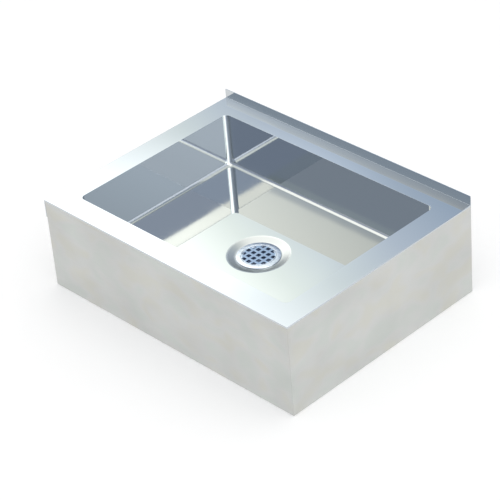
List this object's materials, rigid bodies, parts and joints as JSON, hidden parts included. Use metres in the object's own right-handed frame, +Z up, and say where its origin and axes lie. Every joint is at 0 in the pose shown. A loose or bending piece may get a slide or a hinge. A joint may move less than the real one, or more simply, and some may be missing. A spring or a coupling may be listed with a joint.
{
  "type": "mop service sink",
  "caption": "Floor-standing stainless mop service sink: flat rim, low wall upstand, coved polished bowl, aprons to the floor and a lift-out strainer over a clamped drain.",
  "frame": {"origin": "on the floor under the middle of the sink's box", "axes": "+X along the long front edge to the right, +Y from the front to the wall, +Z up"},
  "size_m": [0.8382, 0.635, 0.2794],
  "materials": {
    "polished_stainless": "bright polished stainless steel, near mirror",
    "satin_stainless": "dull satin stainless steel, faintly mottled",
    "mill_stainless": "unpolished mill-finish stainless steel",
    "drain_steel": "polished stainless steel",
    "plated_brass": "rough cast and turned brass",
    "gasket_rubber": "matt black rubber",
    "damping_pad": "matt dark grey bitumen-filled rubber",
    "fibre": "matt red-brown vulcanised fibre",
    "sealant": "matt grey sealing compound"
  },
  "bodies": {
    "sink": {"deck": "polished_stainless", "bowl": "polished_stainless", "front_apron": "satin_stainless", "rear_apron": "satin_stainless", "left_apron": "satin_stainless", "right_apron": "satin_stainless", "corner_angle_front_left": "mill_stainless", "corner_angle_front_right": "mill_stainless", "corner_angle_rear_left": "mill_stainless", "corner_angle_rear_right": "mill_stainless", "bowl_support_left": "mill_stainless", "bowl_support_right": "mill_stainless", "sound_pad_left": "damping_pad", "sound_pad_right": "damping_pad", "drain_body": "drain_steel", "drain_seal": "sealant", "drain_gasket": "gasket_rubber", "friction_washer": "fibre", "drain_locknut": "plated_brass", "tailpiece_washer": "gasket_rubber", "coupling_nut": "plated_brass", "tailpiece": "drain_steel"},
    "strainer": {"strainer": "drain_steel"}
  },
  "joints": [
    {"name": "strainer_lift", "type": "slide", "parent": "sink", "child": "strainer", "axis": [0, 0, 1], "range_m": [0, 0.2]}
  ]
}
